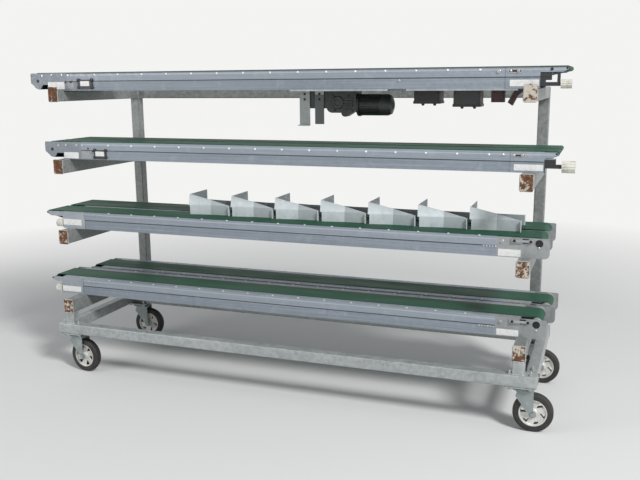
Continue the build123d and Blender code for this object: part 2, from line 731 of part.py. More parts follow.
# Castors
pad_z = rail_bottom - castor_pad_t
plate_z = pad_z - castor_plate[2]
crown_top = plate_z - race_h - swivel_gap


def castor_plane(row, z):
    """Plane on one swivel axis at height z, its x along the trail."""
    name, x, y, angle = row
    turn = Vector(cos(radians(angle)), sin(radians(angle)), 0)
    return Plane(origin=(arms_x + x, arms_y + y, z), x_dir=turn, z_dir=(0, 0, 1))


def wheel_plane(row, sideways=0):
    """Plane through the wheel's middle, its normal along the axle."""
    base = castor_plane(row, wheel_r)
    across = Vector(0, 0, 1).cross(base.x_dir)
    origin = base.origin + base.x_dir * trail + across * sideways
    return Plane(origin=origin, x_dir=base.x_dir, z_dir=-across)


def axle_view(row):
    """Plane that holds the axle: its x runs up from it and its y along it."""
    wheel = wheel_plane(row)
    return Plane(origin=wheel.origin, x_dir=(0, 0, 1), z_dir=Vector(0, 0, 1).cross(wheel.z_dir))


def turned(row, points):
    """Revolve a half profile of (radius, place along the axle) points around the axle."""
    view = axle_view(row)
    with BuildSketch(view) as profile:
        with BuildLine():
            Polyline(*points, close=True)
        make_face()
    revolve(profile.sketch, axis=Axis(view.origin, view.y_dir))


with BuildPart() as castor_pads:
    for name, x, y, angle in castor_rows:
        with BuildSketch(Plane.XY.offset(pad_z)) as pad:
            with Locations((arms_x + x, arms_y + y + (pad_back - pad_front) / 2)):
                Rectangle(2 * pad_half, pad_front + pad_back)
            chamfer(pad.vertices(), pad_bevel)
        extrude(pad.sketch, amount=castor_pad_t)
save(castor_pads, "castor_pads")

with BuildPart() as castor_plates:
    for row in castor_rows:
        name, x, y, angle = row
        level = Plane(origin=(arms_x + x, arms_y + y, plate_z))
        with BuildSketch(level) as plate:
            Rectangle(castor_plate[0], castor_plate[1])
            chamfer(plate.vertices(), plate_corner)
        extrude(plate.sketch, amount=castor_plate[2])
        with BuildSketch(level) as race:
            Circle(race_r)
        extrude(race.sketch, amount=-race_h)
        with BuildSketch(level.offset(-race_h)) as pin:
            Circle(kingpin_r)
        extrude(pin.sketch, amount=-(crown_t + 2 * swivel_gap))
        with BuildSketch(level.offset(-race_h - crown_t - 2 * swivel_gap)) as nut:
            RegularPolygon(nut_r, 6)
        extrude(nut.sketch, amount=-nut_h)
save(castor_plates, "castor_plates")

for row in castor_rows:
    name = row[0]
    # Fork: a channel bent from one sheet, cut to the outline of its legs, with a round crown
    with BuildPart() as fork:
        crown = castor_plane(row, crown_top)
        channel_h = crown_top
        channel_plane = Plane(origin=crown.origin + crown.x_dir * (leg_back - leg_bulge),
                              x_dir=crown.y_dir, z_dir=crown.x_dir)
        with BuildSketch(channel_plane) as channel:
            with Locations((0, -channel_h / 2)):
                RectangleRounded(fork_gap + 2 * leg_t, channel_h, bend_r)
            with Locations((0, -crown_t - channel_h / 2)):
                Rectangle(fork_gap, channel_h, mode=Mode.SUBTRACT)
        extrude(channel.sketch, amount=leg_front - leg_back + leg_bulge)
        top = crown_top - wheel_r
        with BuildSketch(wheel_plane(row)) as leg:
            Circle(leg_end_r)
            with BuildLine():
                Polyline((leg_end_r, 0), (leg_front - trail, top - leg_bulge_down),
                         (leg_front - trail, top), (leg_back - trail, top),
                         (leg_back - trail - leg_bulge, top - leg_bulge_down),
                         (-leg_end_r, 0), close=True)
            make_face()
        extrude(leg.sketch, amount=fork_gap, both=True, mode=Mode.INTERSECT)
        with BuildSketch(castor_plane(row, crown_top - crown_t)) as disc:
            Circle(crown_r)
        extrude(disc.sketch, amount=crown_t)
        with BuildSketch(wheel_plane(row)) as bolt:
            Circle(axle_r)
        extrude(bolt.sketch, amount=fork_gap / 2 + leg_t, both=True)
        for side in (-1, 1):
            with BuildSketch(wheel_plane(row, side * (fork_gap / 2 + leg_t))) as head:
                RegularPolygon(nut_r, 6)
            extrude(head.sketch, amount=-side * nut_h)
        with BuildSketch(castor_plane(row, crown_top)) as hole:
            Circle(kingpin_r + swivel_gap)
        extrude(hole.sketch, amount=-crown_t, mode=Mode.SUBTRACT)
    save(fork, "fork_" + name)

    # Wheel: hub, disc with slots and rim turned from one profile
    with BuildPart() as rim:
        hub_half = fork_gap / 2 - seat
        turned(row, ((hub_bore, -hub_half), (hub_r, -hub_half), (hub_r, -web_t / 2),
                     (rim_inner_r, -web_t / 2), (rim_inner_r, -rim_w / 2), (rim_r - seat, -rim_w / 2),
                     (rim_r - seat, rim_w / 2), (rim_inner_r, rim_w / 2), (rim_inner_r, web_t / 2),
                     (hub_r, web_t / 2), (hub_r, hub_half), (hub_bore, hub_half)))
        with BuildSketch(wheel_plane(row)) as openings:
            with PolarLocations(rim_inner_r - slot_in - slot_l / 2, slots):
                Rectangle(slot_l, slot_w)
            chamfer(openings.vertices(), slot_w / 4)
        extrude(openings.sketch, amount=web_t, both=True, mode=Mode.SUBTRACT)
    save(rim, "rim_" + name)

    with BuildPart() as tyre:
        turned(row, ((rim_r, -wheel_w / 2), (shoulder_r, -shoulder_w / 2), (wheel_r, -tread_w / 2),
                     (wheel_r, tread_w / 2), (shoulder_r, shoulder_w / 2), (rim_r, wheel_w / 2)))
    save(tyre, "tyre_" + name)
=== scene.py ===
import bpy
import json
import bmesh
from math import cos, pi, radians, sin
from mathutils import Matrix, Vector
from random import Random

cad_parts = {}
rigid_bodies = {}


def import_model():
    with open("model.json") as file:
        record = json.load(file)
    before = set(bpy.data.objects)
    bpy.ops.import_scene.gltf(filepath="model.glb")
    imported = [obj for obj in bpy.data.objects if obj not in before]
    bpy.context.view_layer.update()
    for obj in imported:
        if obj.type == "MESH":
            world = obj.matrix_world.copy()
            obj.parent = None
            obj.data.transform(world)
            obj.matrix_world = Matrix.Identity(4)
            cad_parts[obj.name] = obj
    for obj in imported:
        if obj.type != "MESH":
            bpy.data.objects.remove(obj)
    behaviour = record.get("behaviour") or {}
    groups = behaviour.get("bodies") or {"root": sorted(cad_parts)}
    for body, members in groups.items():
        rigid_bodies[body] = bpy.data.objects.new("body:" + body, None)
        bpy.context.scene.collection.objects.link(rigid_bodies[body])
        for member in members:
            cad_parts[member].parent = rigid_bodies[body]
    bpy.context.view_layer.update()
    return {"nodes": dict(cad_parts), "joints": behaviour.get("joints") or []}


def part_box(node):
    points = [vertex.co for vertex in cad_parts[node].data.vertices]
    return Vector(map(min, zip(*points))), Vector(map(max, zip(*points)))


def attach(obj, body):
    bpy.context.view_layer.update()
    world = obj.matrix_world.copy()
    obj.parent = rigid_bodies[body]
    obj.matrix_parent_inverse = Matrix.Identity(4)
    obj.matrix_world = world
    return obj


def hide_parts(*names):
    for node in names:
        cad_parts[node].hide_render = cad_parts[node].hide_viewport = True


# Wheeled rack with four tiers of flat belt conveyors, dressed for rendering. Metres.
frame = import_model()
nodes = frame["nodes"]

# Camera of the photograph's view: place in metres, angles in degrees, lens and sensor in millimetres
camera_at = (1.671, -4.185, 1.731)
camera_angles = (78.504, 0.498, 19.997)
camera_lens = 43.99
camera_sensor = 36

# Places that the looks need: the profiles and the arms read from the frame, the rest given
tiers = (1, 2, 3, 4)
profiles = {n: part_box(f"conveyor_{n}_side_profiles") for n in tiers}
arms = {n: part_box(f"arms_tier_{n}") for n in tiers}
far_lane_y = 0.001          # near face of the second conveyor of the lowest tier
second_lip = 1.610          # top of the lip of the second control box
section = 0.060             # width of the rack's box sections
halves = {1: (0, 2), -1: (-2, 0)}       # X of the right and of the left half
backdrop = (0.90, 0.90, 0.89)


# Node helpers for the materials
def put(tree, socket, value):
    """Set a socket to another socket, a colour or a number."""
    if isinstance(value, bpy.types.NodeSocket):
        tree.links.new(value, socket)
    elif isinstance(value, tuple):
        socket.default_value = (*value, 1)
    else:
        socket.default_value = value


def mix(tree, factor, a, b):
    """Blend of two colours."""
    node = tree.nodes.new("ShaderNodeMix")
    node.data_type = "RGBA"
    put(tree, node.inputs[0], factor)
    put(tree, node.inputs[6], a)
    put(tree, node.inputs[7], b)
    return node.outputs[2]


def calc(tree, operation, a, b=0.0):
    """Arithmetic or comparison of one or two values."""
    node = tree.nodes.new("ShaderNodeMath")
    node.operation = operation
    put(tree, node.inputs[0], a)
    put(tree, node.inputs[1], b)
    return node.outputs[0]


def remap(tree, source, low, high, to_low=0.0, to_high=1.0):
    """Value between to_low and to_high as the source runs from low to high."""
    node = tree.nodes.new("ShaderNodeMapRange")
    limits = (("From Min", low), ("From Max", high), ("To Min", to_low), ("To Max", to_high))
    for name, value in limits:
        node.inputs[name].default_value = value
    tree.links.new(source, node.inputs["Value"])
    return node.outputs["Result"]


def place(tree, stretch=(1, 1, 1)):
    """Object coordinates in metres, stretched along an axis."""
    where = tree.nodes.new("ShaderNodeTexCoord")
    node = tree.nodes.new("ShaderNodeMapping")
    node.inputs["Scale"].default_value = stretch
    tree.links.new(where.outputs["Object"], node.inputs["Vector"])
    return node.outputs["Vector"]


def axis_value(tree, axis):
    """Object coordinate along X, Y or Z, in metres."""
    node = tree.nodes.new("ShaderNodeSeparateXYZ")
    tree.links.new(place(tree), node.inputs["Vector"])
    return node.outputs[axis]


def within(tree, axis, low, high):
    """1 between two places along an axis, else 0."""
    value = axis_value(tree, axis)
    return calc(tree, "MULTIPLY", calc(tree, "GREATER_THAN", value, low),
                calc(tree, "LESS_THAN", value, high))


def area(tree, x0, x1, z0, z1):
    """1 between two X and two Z, else 0."""
    return calc(tree, "MULTIPLY", within(tree, "X", x0, x1), within(tree, "Z", z0, z1))


def coat(tree, colour, mask, share, paint):
    """Colour with a share of the paint where the mask is."""
    return mix(tree, calc(tree, "MULTIPLY", mask, share), colour, paint)


def noise(tree, where, scale, detail, rough=0.5):
    """Cloudy noise around 0.5."""
    node = tree.nodes.new("ShaderNodeTexNoise")
    for name, value in (("Scale", scale), ("Detail", detail), ("Roughness", rough)):
        node.inputs[name].default_value = value
    tree.links.new(where, node.inputs["Vector"])
    return node.outputs["Fac"]


def patches(tree, where, scale, detail, rough, low, high):
    """Noise that runs from 0 to 1 between two of its values."""
    return remap(tree, noise(tree, where, scale, detail, rough), low, high)


def cells(tree, where, scale):
    """Value that is constant in each cell, as in crystals of zinc."""
    node = tree.nodes.new("ShaderNodeTexVoronoi")
    node.inputs["Scale"].default_value = scale
    tree.links.new(where, node.inputs["Vector"])
    grey = tree.nodes.new("ShaderNodeSeparateColor")
    tree.links.new(node.outputs["Color"], grey.inputs["Color"])
    return grey.outputs["Red"]


def bump(tree, source, strength, distance):
    """Normal of a surface that the source raises by up to the distance."""
    node = tree.nodes.new("ShaderNodeBump")
    node.inputs["Strength"].default_value = strength
    node.inputs["Distance"].default_value = distance
    tree.links.new(source, node.inputs["Height"])
    return node.outputs["Normal"]


def start(name, roughness, metallic=0.0, specular=0.5):
    """New material, its node tree and its shader."""
    material = bpy.data.materials.new(name)
    material.use_nodes = True
    shader = material.node_tree.nodes["Principled BSDF"]
    shader.inputs["Roughness"].default_value = roughness
    shader.inputs["Metallic"].default_value = metallic
    shader.inputs["Specular IOR Level"].default_value = specular
    return material, material.node_tree, shader


def finish(tree, shader, colour, roughness=None, normal=None):
    """Link what a material worked out to its shader."""
    tree.links.new(colour, shader.inputs["Base Color"])
    if roughness:
        tree.links.new(roughness, shader.inputs["Roughness"])
    if normal:
        tree.links.new(normal, shader.inputs["Normal"])


# Materials
def zinc_coat(name, dark, pale, bright, spangle, metallic=0.3, streak=(1, 1, 1), after=None):
    """Hot-dip zinc: crystals, cloudy patches, white bloom and runs of grime."""
    material, tree, shader = start(name, 0.5, metallic)
    where = place(tree)
    crystal = cells(tree, where, 62)
    cloud = patches(tree, place(tree, streak), 4.5, 6, 0.62, 0.36, 0.66)
    bloom = patches(tree, where, 17, 5, 0.6, 0.56, 0.72)
    grime = patches(tree, place(tree, (6, 6, 0.8)), 5, 5, 0.65, 0.60, 0.78)
    fine = noise(tree, where, 130, 3)
    colour = mix(tree, cloud, dark, pale)
    colour = mix(tree, spangle, colour, mix(tree, crystal, dark, bright))
    colour = coat(tree, colour, bloom, 0.45, bright)
    colour = coat(tree, colour, grime, 0.35, tuple(0.45 * c for c in dark))
    if after:
        colour = after(tree, colour)
    finish(tree, shader, colour, remap(tree, crystal, 0, 1, 0.38, 0.58), bump(tree, fine, 0.12, 0.0006))
    return material


left_shade = {1: 0.50, 2: 0.34, 3: 0.38, 4: 0.16}      # share of painted shade at the left end of each tier
hook_shade = 0.55           # the same on the hooked drive ends
left_shade_run = (-1.5, 1.1)     # X where this painted shade is thickest and where it ends
left_shade_tint = (0.085, 0.10, 0.12)
hardware_black = (0.018, 0.019, 0.02)

# Heights over the foot of a profile: its groove, and the bright line along its upper band
groove = (0.050, 0.0555)
bright_line = (0.084, 0.090)
profile_over = 0.2          # more than a profile is high
dark_rim = (-0.005, 0.01)   # dark line along the top of the first tier's profiles, from that top


def painted_left_shade(tree, colour, share):
    """Painted shade that fades out from the left end to the right."""
    left = remap(tree, axis_value(tree, "X"), *left_shade_run, share, 0.0)
    return mix(tree, left, colour, left_shade_tint)


def profile_zinc(number, black=None):
    """Rolled profile of one tier: painted shade towards its left end and in its groove, a paler upper band
    and streaks along it.

    What lies in the area black, two X and two Z, is black hardware.
    """
    base, top = (corner.z for corner in profiles[number])

    def strip(tree, low, high):
        """Strip along the profile between two heights over its foot."""
        return within(tree, "Z", base + low, base + high)

    def bands(tree, colour):
        # Painted shade, darker towards the left end
        colour = painted_left_shade(tree, colour, left_shade[number])
        line = noise(tree, place(tree, (0.4, 1, 60)), 5, 3)
        colour = mix(tree, remap(tree, line, 0.35, 0.7, 0, 0.30), colour, (0.42, 0.46, 0.51))
        upper = strip(tree, groove[1], profile_over)
        colour = coat(tree, colour, upper, 0.18, (0.46, 0.50, 0.55))
        colour = coat(tree, colour, strip(tree, *bright_line), 0.30, (0.62, 0.66, 0.70))
        # Painted shade in the groove
        colour = coat(tree, colour, strip(tree, *groove), 0.80, (0.040, 0.045, 0.05))
        if number == 1:
            rim_line = within(tree, "Z", top + dark_rim[0], top + dark_rim[1])
            colour = coat(tree, colour, rim_line, 0.75, (0.05, 0.06, 0.06))
        if black:
            colour = coat(tree, colour, area(tree, *black), 0.93, hardware_black)
        return colour

    return zinc_coat(f"profile_zinc_{number}", (0.180, 0.213, 0.252), (0.225, 0.260, 0.302),
                     (0.36, 0.40, 0.445), 0.16, 0.35, (0.3, 6, 6), bands)


def hook_plate(tree, colour):
    """Hooked drive end: painted shade at its left end, as on the profile beside it."""
    return painted_left_shade(tree, colour, hook_shade)


# How much more primer than rust each end plate of the arms keeps. Columns: tier, side (+1 right,
# -1 left), change of the noise that parts them
plate_primer = (
    (1, 1, 0.125), (2, 1, 0.015), (3, 1, 0.025), (4, 1, 0.05),
    (1, -1, -0.05), (2, -1, -0.05), (3, -1, -0.01), (4, -1, 0.035),
)
plate_over = 0.04           # more than the end plates stand over the arms
low_plate_blend = 0.02      # half height over which the lowest right plate turns from rust to primer
low_plate_change = 0.07     # what that takes from its primer below and adds above


def rusted(name):
    """Cut steel plate: whitish primer left between orange and brown rust."""
    material, tree, shader = start(name, 0.88, 0.0, 0.3)
    where = place(tree)
    rust = noise(tree, where, 44, 6, 0.70)
    blotch = patches(tree, where, 75, 5, 0.6, 0.42, 0.62)
    deep = patches(tree, where, 34, 4, 0.6, 0.42, 0.56)
    colour = mix(tree, blotch, (0.21, 0.088, 0.036), (0.070, 0.036, 0.024))
    colour = mix(tree, deep, colour, (0.105, 0.052, 0.030))
    for tier, side, share in plate_primer:
        low, high = arms[tier]
        here = area(tree, *halves[side], low.z - plate_over, high.z + plate_over)
        rust = calc(tree, "SUBTRACT", rust, calc(tree, "MULTIPLY", here, share))
    # The lowest right plate is rusted below and keeps its primer above
    low, high = arms[4]
    middle = (low.z + high.z) / 2
    upper = remap(tree, axis_value(tree, "Z"), middle - low_plate_blend, middle + low_plate_blend,
                  -low_plate_change, low_plate_change)
    low_plate = area(tree, *halves[1], 0, high.z + plate_over)
    rust = calc(tree, "SUBTRACT", rust, calc(tree, "MULTIPLY", low_plate, upper))
    primer = remap(tree, rust, 0.47, 0.41)
    colour = mix(tree, primer, colour, (0.50, 0.46, 0.39))
    finish(tree, shader, colour, None, bump(tree, rust, 0.6, 0.002))
    return material


def belting(name):
    """Dark green belt with dusty patches along its run and a fine weave."""
    material, tree, shader = start(name, 0.55, 0.0, 0.15)
    where = place(tree)
    dust = patches(tree, place(tree, (0.5, 2.5, 1)), 5, 6, 0.62, 0.42, 0.72)
    scuff = patches(tree, place(tree, (14, 1, 1)), 5, 4, 0.6, 0.60, 0.80)
    weave = noise(tree, where, 650, 2)
    colour = mix(tree, dust, (0.011, 0.066, 0.036), (0.026, 0.098, 0.060))
    colour = coat(tree, colour, scuff, 0.25, (0.10, 0.18, 0.135))
    finish(tree, shader, colour, remap(tree, dust, 0, 1, 0.50, 0.72), bump(tree, weave, 0.15, 0.0004))
    return material


def worn(name, colour, shade, roughness, metallic=0.0, scale=30, relief=0.1, after=None):
    """Painted, moulded or bare surface with slight wear and dirt."""
    material, tree, shader = start(name, roughness, metallic)
    where = place(tree)
    dirt = patches(tree, where, scale, 5, 0.6, 0.42, 0.75)
    grain = noise(tree, where, 420, 2)
    colour = mix(tree, dirt, colour, shade)
    if after:
        colour = after(tree, colour)
    finish(tree, shader, colour, remap(tree, dirt, 0, 1, roughness - 0.06, roughness + 0.14),
           bump(tree, grain, relief, 0.0005))
    return material


# Areas on the drive bracket and the control boxes, two X and two Z: painted shade on the bracket, other
# colours on the boxes
shaded_plate_area = (0.185, 0.25, 0, 1.66)
second_box_area = (0.90, 1.10, second_lip, 2)
last_box_area = (1.10, 2, 0, 2)


def shaded_second_plate(tree, colour):
    """The drive bracket's second drop plate gets painted shade."""
    return coat(tree, colour, area(tree, *shaded_plate_area), 0.8, (0.045, 0.05, 0.055))


def box_colours(tree, colour):
    """The second box is grey-green; the last one and its plug are dark red-brown."""
    colour = coat(tree, colour, area(tree, *second_box_area), 0.8, (0.048, 0.056, 0.052))
    return coat(tree, colour, area(tree, *last_box_area), 0.9, (0.060, 0.018, 0.021))


# Guide chutes: left end of the first, their pitch, and the turn and the flange from a left end
chute_left = -0.587
chute_pitch = 0.2708
chute_turn = 0.134
chute_flange = 0.2532


def chute_light_and_shade(tree, colour):
    """Past its turn each chute gets painted shade, and its flange a painted highlight."""
    from_left = calc(tree, "SUBTRACT", axis_value(tree, "X"), chute_left)
    along = calc(tree, "FRACT", calc(tree, "DIVIDE", from_left, chute_pitch))
    past = calc(tree, "GREATER_THAN", along, chute_turn / chute_pitch)
    # Painted shade past the turn
    colour = coat(tree, colour, past, 0.55, (0.26, 0.29, 0.30))
    # Painted highlight on the flange
    flange = calc(tree, "GREATER_THAN", along, chute_flange / chute_pitch)
    return coat(tree, colour, flange, 0.8, (0.74, 0.76, 0.75))


# Zinc of several pieces: dark, pale and bright. The second is a darker copy of the rack's zinc, painted
# shade on the columns, beams and arms
rack_zinc = ((0.27, 0.295, 0.292), (0.37, 0.395, 0.39), (0.53, 0.56, 0.55))
dull_zinc = ((0.165, 0.178, 0.173), (0.245, 0.262, 0.255), (0.38, 0.40, 0.39))
plate_zinc = ((0.25, 0.28, 0.31), (0.33, 0.36, 0.39), (0.46, 0.49, 0.52))
end_zinc = ((0.245, 0.255, 0.262), (0.315, 0.325, 0.332), (0.46, 0.47, 0.475))
looks = {
    "galvanised": zinc_coat("hot_dip_zinc", *rack_zinc, 0.38),
    "dull_zinc": zinc_coat("dull_zinc", *dull_zinc, 0.34),
    "end_plate": zinc_coat("end_plate_zinc", *end_zinc, 0.2),
    "hook_plate": zinc_coat("hook_plate_zinc", *plate_zinc, 0.2, after=hook_plate),
    "bracket": zinc_coat("bracket_zinc", *rack_zinc, 0.3, after=shaded_second_plate),
    "rusted_plate": rusted("rusted_steel"),
    "plate": zinc_coat("plate_zinc", *plate_zinc, 0.2),
    "cover_1": profile_zinc(1, black=(1.366, 1.60, 1.60, 1.7625)),
    "cover_2": profile_zinc(2, black=(1.4015, 1.60, 1.25, 1.36)),
    "bars": zinc_coat("bar_zinc", (0.22, 0.25, 0.27), (0.30, 0.33, 0.35), (0.42, 0.45, 0.47), 0.15),
    "belt": belting("belt_green"),
    "knob": worn("knob_cream", (0.66, 0.645, 0.58), (0.42, 0.40, 0.34), 0.45),
    "roller": worn("roller_steel", (0.012, 0.012, 0.013), (0.030, 0.030, 0.030), 0.45, 0.4),
    "motor_paint": worn("motor_paint", (0.026, 0.035, 0.031), (0.013, 0.017, 0.015), 0.42),
    "box_plastic": worn("box_plastic", (0.018, 0.018, 0.018), (0.034, 0.034, 0.032), 0.5,
                        after=box_colours),
    "sheet": zinc_coat("bright_sheet", (0.50, 0.55, 0.57), (0.60, 0.65, 0.67), (0.74, 0.78, 0.80),
                       0.22, 0.25, after=chute_light_and_shade),
    "zinc": zinc_coat("castor_zinc", (0.23, 0.26, 0.262), (0.31, 0.345, 0.345), (0.47, 0.51, 0.51),
                      0.14, 0.4),
    "rim": worn("rim_aluminium", (0.66, 0.655, 0.62), (0.46, 0.45, 0.42), 0.45, 0.2),
    "tyre": worn("tyre_rubber", (0.018, 0.018, 0.018), (0.050, 0.046, 0.040), 0.72, scale=18, relief=0.3),
    "label": worn("label_white", (0.74, 0.74, 0.73), (0.60, 0.60, 0.58), 0.35, scale=60, relief=0.02),
    "label_grey": worn("label_grey", (0.30, 0.31, 0.31), (0.22, 0.22, 0.22), 0.4, scale=60, relief=0.02),
    "moulding": worn("black_moulding", (0.016, 0.016, 0.017), (0.035, 0.035, 0.035), 0.4),
    "fastener": worn("fastener_zinc", (0.50, 0.52, 0.53), (0.30, 0.31, 0.31), 0.32, 0.65, scale=90),
    "screw": worn("screw_zinc", (0.80, 0.82, 0.83), (0.62, 0.63, 0.63), 0.35, 0.2, scale=90),
    "link": worn("link_zinc", (0.40, 0.415, 0.42), (0.26, 0.27, 0.27), 0.38, 0.35, scale=90),
    "black_fastener": worn("fastener_black", (0.022, 0.022, 0.023), (0.06, 0.06, 0.06), 0.4, 0.5, scale=90),
}
for number in tiers:
    looks[f"profile_{number}"] = profile_zinc(number)

# Look of each of the frame's nodes, by the beginning or else by the end of its name
by_name = (
    ("arm_end_plates", "rusted_plate"), ("base_", "galvanised"), ("front_posts", "galvanised"),
    ("columns", "dull_zinc"), ("tier_beams", "dull_zinc"), ("arms_", "dull_zinc"),
    ("castor_pads", "galvanised"), ("castor_plates", "zinc"), ("fork_", "zinc"), ("rim_", "rim"),
    ("tyre_", "tyre"), ("tension_knobs", "knob"), ("belt_rollers", "roller"), ("middle_strips", "plate"),
    ("cross_bars", "bars"), ("sliding_beds", "bars"), ("drive_bracket", "bracket"),
    ("gearbox", "motor_paint"), ("motor", "motor_paint"), ("control_boxes", "box_plastic"),
    ("guide_chutes", "sheet"), ("conveyor_1_side", "profile_1"), ("conveyor_2_side", "profile_2"),
    ("conveyor_3_side", "profile_3"), ("conveyor_4_side", "profile_4"),
    ("conveyor_1_nose", "cover_1"), ("conveyor_2_nose", "cover_2"),
    ("conveyor_1_drive", "hook_plate"), ("conveyor_2_drive", "hook_plate"),
    ("conveyor_3_drive", "end_plate"), ("conveyor_4_drive", "end_plate"),
)
by_end = (("_belts", "belt"), ("_nose_plates", "plate"))
for name, node in nodes.items():
    look = next((look for begin, look in by_name if name.startswith(begin)), None)
    look = look or next(look for end, look in by_end if name.endswith(end))
    node.data.materials.clear()
    node.data.materials.append(looks[look])


# Mesh helpers for the pieces that the frame lacks
def facing(normal, up=(0, 0, 1)):
    """Rotation that turns Z to the normal and Y towards up."""
    z = Vector(normal).normalized()
    up = Vector(up) if abs(z.dot(Vector(up))) < 0.9 else Vector((0, 1, 0))
    x = up.cross(z).normalized()
    return Matrix((x, z.cross(x), z)).transposed()


def loft(bm, rings, closed=False):
    """Faces between rings of vertices; a ring of one vertex is a tip."""
    pairs = list(zip(rings, rings[1:]))
    if closed:
        pairs.append((rings[-1], rings[0]))
    for low, high in pairs:
        count = max(len(low), len(high))
        for i in range(count):
            j = (i + 1) % count
            corners = (low[i % len(low)], low[j % len(low)], high[j % len(high)], high[i % len(high)])
            bm.faces.new(list(dict.fromkeys(corners)))


def ring(bm, at, spin, radius, height, steps, turn=float):
    """Circle of vertices around an axis, or one vertex on it; turn can shift them along it."""
    count = steps if radius else 1
    angles = [2 * pi * turn(i) / count for i in range(count)]
    return [bm.verts.new(at + spin @ Vector((radius * cos(a), radius * sin(a), height))) for a in angles]


def turned(bm, at, axis, outline, steps, closed=False):
    """Form turned around an axis from (radius, height) points."""
    spin = facing(axis)
    loft(bm, [ring(bm, Vector(at), spin, radius, height, steps) for radius, height in outline], closed)


def rounded(width, height, radius, steps=3):
    """Points of a rounded rectangle around the origin."""
    points = []
    for quarter in range(4):
        x = (width / 2 - radius) * (1 if quarter in (0, 3) else -1)
        y = (height / 2 - radius) * (1 if quarter in (0, 1) else -1)
        for k in range(steps + 1):
            angle = radians(90 * (quarter + k / steps))
            points.append((x + radius * cos(angle), y + radius * sin(angle)))
    return points


def card(bm, at, normal, width, height, thick, corner, edge=0.0004, up=(0, 0, 1)):
    """Flat plate with rounded corners and a broken edge, lying on a face."""
    spin = facing(normal, up)
    rings = []
    for inset, lift in ((0, 0), (0, thick - edge), (edge, thick)):
        outline = rounded(width - 2 * inset, height - 2 * inset, corner - inset)
        rings.append([bm.verts.new(Vector(at) + spin @ Vector((x, y, lift))) for x, y in outline])
    loft(bm, rings)
    bm.faces.new(rings[-1])
    bm.faces.new(rings[0][::-1])


# Fasteners: turned forms as (sides, (radius, height) points), in shares of a fastener's size
washer = (20, ((0, 0), (1.1, 0), (1.1, 0.14), (1.04, 0.18), (0, 0.18)))
fasteners = {
    "hex": (washer, (6, ((0, 0.18), (0.92, 0.18), (0.92, 0.74), (0.80, 0.84), (0, 0.84)))),
    "socket": (washer, (20, ((0, 0.18), (0.78, 0.18), (0.78, 0.95), (0.70, 1.03), (0.5, 1.03),
                             (0.45, 0.6), (0, 0.6)))),
    "pan": ((14, ((0, 0), (1, 0), (0.95, 0.3), (0.7, 0.52), (0.3, 0.62), (0.2, 0.5), (0, 0.5))),),
    "stud": (washer, (6, ((0, 0.18), (0.92, 0.18), (0.92, 0.90), (0.80, 0.98), (0, 0.98))),
             (12, ((0, 0.98), (0.5, 0.98), (0.5, 1.75), (0.4, 1.9), (0, 1.9)))),
    "gland": ((6, ((0, 0), (1, 0), (1, 0.5), (0, 0.5))),
              (16, ((0, 0.5), (0.85, 0.5), (0.85, 0.9), (0.6, 1.25), (0.35, 1.3), (0.3, 1.0), (0, 1.0)))),
}


def fix(bm, kind, at, axis, size):
    """Fastener of a kind, with its foot at a place and its head along the axis."""
    for sides, outline in fasteners[kind]:
        turned(bm, at, axis, [(r * size, h * size) for r, h in outline], sides)


sharp_angle = 32            # degrees between two faces, past which their edge is sharp


def piece(name, body, look, slot, build, *given):
    """Mesh piece made by build(bm, ...), with smooth shading between its sharp edges."""
    bm = bmesh.new()
    build(bm, *given)
    mesh = bpy.data.meshes.new(name)
    bm.to_mesh(mesh)
    bm.free()
    mesh.materials.append(looks[look])
    mesh.polygons.foreach_set("use_smooth", [True] * len(mesh.polygons))
    mesh.set_sharp_from_angle(angle=radians(sharp_angle))
    made = bpy.data.objects.new(name, mesh)
    bpy.context.scene.collection.objects.link(made)
    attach(made, body)
    return made


# Welds of the rack
bead_r = 0.0032
bead_pitch = 0.0045
bead_swell = (0.8, 0.25)    # least share of the radius, and what each of two swells adds at most
bead_sides = 6
chance = Random(7)


def bead(bm, a, b):
    """Weld bead between two points, a chain of ripples."""
    run = b - a
    spin = facing(run)
    count = max(3, round(run.length / bead_pitch))
    rings = [[bm.verts.new(a)]]
    for k in range(1, count):
        swell = bead_r * (bead_swell[0] + bead_swell[1] * (k % 2) + bead_swell[1] * chance.random())
        rings.append(ring(bm, a + run * (k / count), spin, swell, 0, bead_sides))
    rings.append([bm.verts.new(b)])
    loft(bm, rings)


def weld_around(bm, centre, normal, width, height):
    """Beads on the four sides of a section that meets a face."""
    spin = facing(normal)
    corners = [Vector(centre) + spin @ Vector((x * width / 2, y * height / 2, 0))
               for x, y in ((-1, -1), (1, -1), (1, 1), (-1, 1))]
    for a, b in zip(corners, corners[1:] + corners[:1]):
        bead(bm, a, b)


def rack_welds(bm):
    """Welds of the arms, beams, columns, posts and base rails."""
    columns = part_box("columns")
    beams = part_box("tier_beams")
    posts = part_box("front_posts")
    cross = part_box("base_cross_rails")
    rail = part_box("base_castor_rail")
    half = section / 2
    xs = (columns[0].x + half, columns[1].x - half)
    column_y = (columns[0].y + columns[1].y) / 2
    for low, high in arms.values():
        middle, height = (low.z + high.z) / 2, high.z - low.z
        for x in xs:
            weld_around(bm, (x, high.y, middle), (0, -1, 0), section, height)
            weld_around(bm, (x, low.y, middle), (0, -1, 0), section, height)
        for x in (beams[0].x, beams[1].x):
            weld_around(bm, (x, column_y, middle), (1, 0, 0), section, height)
    for x in xs:
        for z in (posts[0].z, posts[1].z):
            weld_around(bm, (x, (posts[0].y + posts[1].y) / 2, z), (0, 0, 1), section, section)
        weld_around(bm, (x, column_y, columns[0].z), (0, 0, 1), section, section)
    rail_z = (cross[0].z + cross[1].z) / 2
    for x in (cross[0].x + half, cross[1].x - half):
        for y in (cross[0].y, cross[1].y):
            weld_around(bm, (x, y, rail_z), (0, -1, 0), section, section)
    for x in (rail[0].x, rail[1].x):
        weld_around(bm, (x, (rail[0].y + rail[1].y) / 2, rail_z), (1, 0, 0), section, section)


